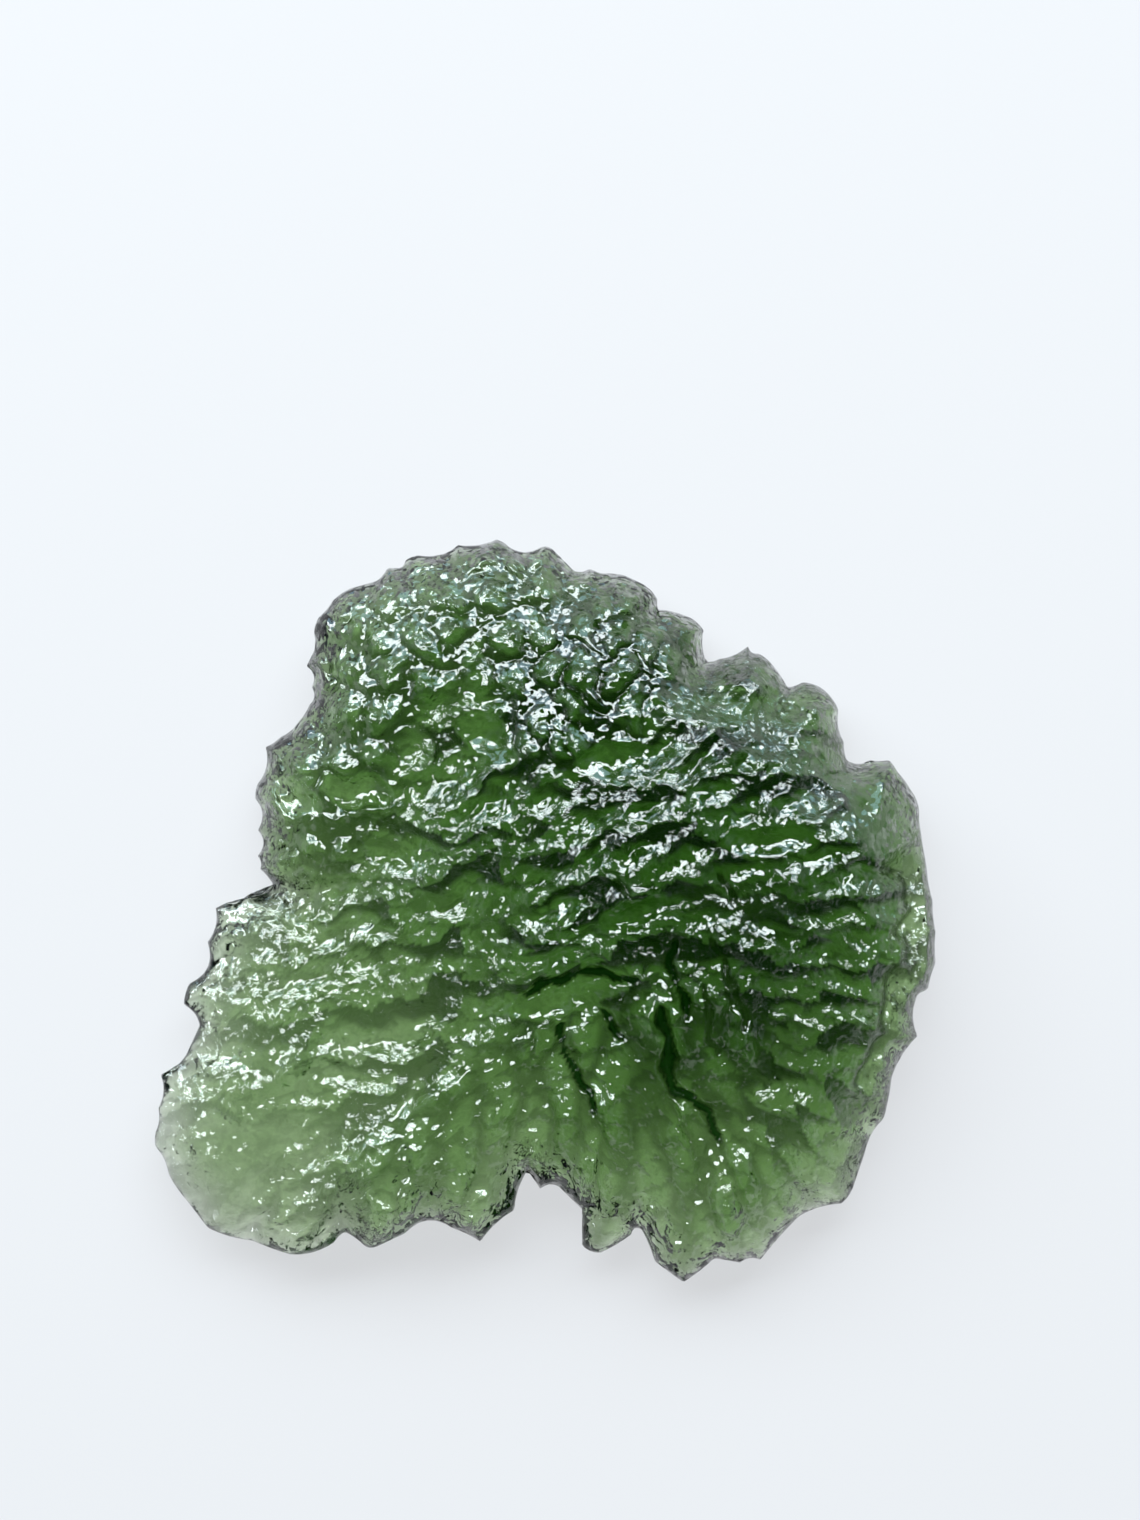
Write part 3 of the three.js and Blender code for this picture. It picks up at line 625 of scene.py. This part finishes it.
def make_green_glass():
    glass = bpy.data.materials.new("green_glass")
    glass.use_nodes = True
    tree = glass.node_tree
    shader = tree.nodes["Principled BSDF"]
    place = tree.nodes.new("ShaderNodeTexCoord").outputs["Object"]

    shader.inputs["Transmission Weight"].default_value = 1.0
    shader.inputs["IOR"].default_value = GLASS_IOR
    absorption = tree.nodes.new("ShaderNodeVolumeAbsorption")
    absorption.inputs["Color"].default_value = GLASS_COLOUR
    absorption.inputs["Density"].default_value = GLASS_DENSITY
    tree.links.new(absorption.outputs["Volume"], tree.nodes["Material Output"].inputs["Volume"])

    specks, clouds = (
        ranged(tree, noise(tree, place, grain), grain["start"], grain["whole"], 0.0, grain["share"])
        for grain in (SPECKS, CLOUDS)
    )
    either = combined(tree, "ShaderNodeMath", "MAXIMUM", clouds, specks).outputs["Value"]
    # The random mottle, with its share climbing with height as painted shade
    mottle_and_painted_shade = layer_of(tree, "mottle_and_painted_shade")
    shaded_mottle = combined(tree, "ShaderNodeMath", "MULTIPLY", either, mottle_and_painted_shade).outputs["Value"]
    # The darker of the painted shade and the mottle tints the glass
    painted_shade = layer_of(tree, "painted_shade")
    shade_and_mottle = combined(tree, "ShaderNodeMath", "MAXIMUM", painted_shade, shaded_mottle).outputs["Value"]
    painted_shade_film = tree.nodes.new("ShaderNodeMix")
    painted_shade_film.data_type = "RGBA"
    painted_shade_film.inputs["A"].default_value = CLEAN
    painted_shade_film.inputs["B"].default_value = SHADE_AND_MOTTLE_COLOUR
    tree.links.new(shade_and_mottle, painted_shade_film.inputs["Factor"])
    tree.links.new(painted_shade_film.outputs["Result"], shader.inputs["Base Color"])

    frost = layer_of(tree, "frost")
    tree.links.new(ranged(tree, frost, 0.0, 1.0, *ROUGHNESS), shader.inputs["Roughness"])
    bump = tree.nodes.new("ShaderNodeBump")
    bump.inputs["Distance"].default_value = GRIT["height"] * MM
    tree.links.new(noise(tree, place, GRIT), bump.inputs["Height"])
    tree.links.new(ranged(tree, frost, 0.0, 1.0, *GRIT_STRENGTH), bump.inputs["Strength"])
    facets = tree.nodes.new("ShaderNodeTexVoronoi")
    facets.inputs["Scale"].default_value = 1 / (FACET_SIZE * MM)
    tree.links.new(place, facets.inputs["Vector"])
    turned = combined(tree, "ShaderNodeVectorMath", "SUBTRACT", facets.outputs["Color"])
    turned.inputs[1].default_value = FACET_MIDDLE
    tilt = combined(tree, "ShaderNodeVectorMath", "SCALE", turned.outputs["Vector"])
    tree.links.new(layer_of(tree, "sparkle"), tilt.inputs["Scale"])
    tilted = combined(
        tree, "ShaderNodeVectorMath", "ADD", bump.outputs["Normal"], tilt.outputs["Vector"],
    )
    normal = combined(tree, "ShaderNodeVectorMath", "NORMALIZE", tilted.outputs["Vector"])
    tree.links.new(normal.outputs["Vector"], shader.inputs["Normal"])
    return glass


stone = bpy.data.objects.new("moldavite_stone", make_stone())
bpy.context.scene.collection.objects.link(stone)
stone.data.materials.append(make_green_glass())
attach(stone, "root")
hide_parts("moldavite")

# The floor
# A plain matt sheet of cool white card, much wider than the stone and just under it. It glows
# evenly, as on a light table, so that light also comes up through the glass.
FLOOR_SIDE = 1.2
FLOOR_DROP = 0.02
CARD_COLOUR = (0.05, 0.051, 0.053, 1.0)
CARD_ROUGHNESS = 0.9
CARD_GLOW = (0.95, 0.97, 1.0, 1.0)
CARD_GLOW_STRENGTH = 0.67
bm = bmesh.new()
bmesh.ops.create_grid(bm, x_segments=1, y_segments=1, size=FLOOR_SIDE / 2)
floor_mesh = bpy.data.meshes.new("floor")
bm.to_mesh(floor_mesh)
bm.free()
floor_mesh.transform(Matrix.Translation((0, 0, -FLOOR_DROP * MM)))
floor = bpy.data.objects.new("floor", floor_mesh)
bpy.context.scene.collection.objects.link(floor)
card = bpy.data.materials.new("white_card")
card.use_nodes = True
card_shader = card.node_tree.nodes["Principled BSDF"]
card_shader.inputs["Base Color"].default_value = CARD_COLOUR
card_shader.inputs["Roughness"].default_value = CARD_ROUGHNESS
card_shader.inputs["Emission Color"].default_value = CARD_GLOW
card_shader.inputs["Emission Strength"].default_value = CARD_GLOW_STRENGTH
floor_mesh.materials.append(card)

# The light
# A pale surround lights the stone from every side. It is darker overhead and behind the foot, and
# two soft panels beyond the top of the stone give the glints.
SURROUND_COLOUR = (0.78, 0.92, 1.0, 1.0)
OVERHEAD_FALL = dict(low=0.2, high=0.7, at_low=0.8, at_high=0.02)
FOOT_SHADE = dict(low=-0.7, high=0.0, at_low=0.15, at_high=1.0)
# The panels, in metres: name, place, width, height, brightness and colour
PANELS = (
    ("top_panel", (-0.06, 0.30, 0.25), 0.80, 0.24, 24.0, (0.88, 0.96, 1.0)),
    ("sky_panel", (0.0, 0.60, 0.10), 1.4, 0.35, 4.5, (0.5, 0.8, 1.0)),
)
world = bpy.data.worlds.new("surround")
bpy.context.scene.world = world
world.use_nodes = True
sky = world.node_tree
direction = sky.nodes.new("ShaderNodeSeparateXYZ")
toward = sky.nodes.new("ShaderNodeTexCoord").outputs["Generated"]
sky.links.new(toward, direction.inputs["Vector"])
fall = ranged(sky, direction.outputs["Z"], **OVERHEAD_FALL)
shade = ranged(sky, direction.outputs["Y"], **FOOT_SHADE)
strength = combined(sky, "ShaderNodeMath", "MULTIPLY", fall, shade).outputs["Value"]
sky.links.new(strength, sky.nodes["Background"].inputs["Strength"])
sky.nodes["Background"].inputs["Color"].default_value = SURROUND_COLOUR
bpy.context.scene.view_settings.view_transform = "Standard"

for name, place, width, height, brightness, colour in PANELS:
    lamp = bpy.data.lights.new(name, "AREA")
    lamp.shape = "RECTANGLE"
    lamp.size = width
    lamp.size_y = height
    lamp.color = colour
    lamp.energy = brightness * np.pi * width * height
    panel = bpy.data.objects.new(name, lamp)
    panel.location = place
    panel.visible_camera = False
    panel.visible_transmission = False
    panel.rotation_euler = (-Vector(place)).to_track_quat("-Z", "Y").to_euler()
    bpy.context.scene.collection.objects.link(panel)
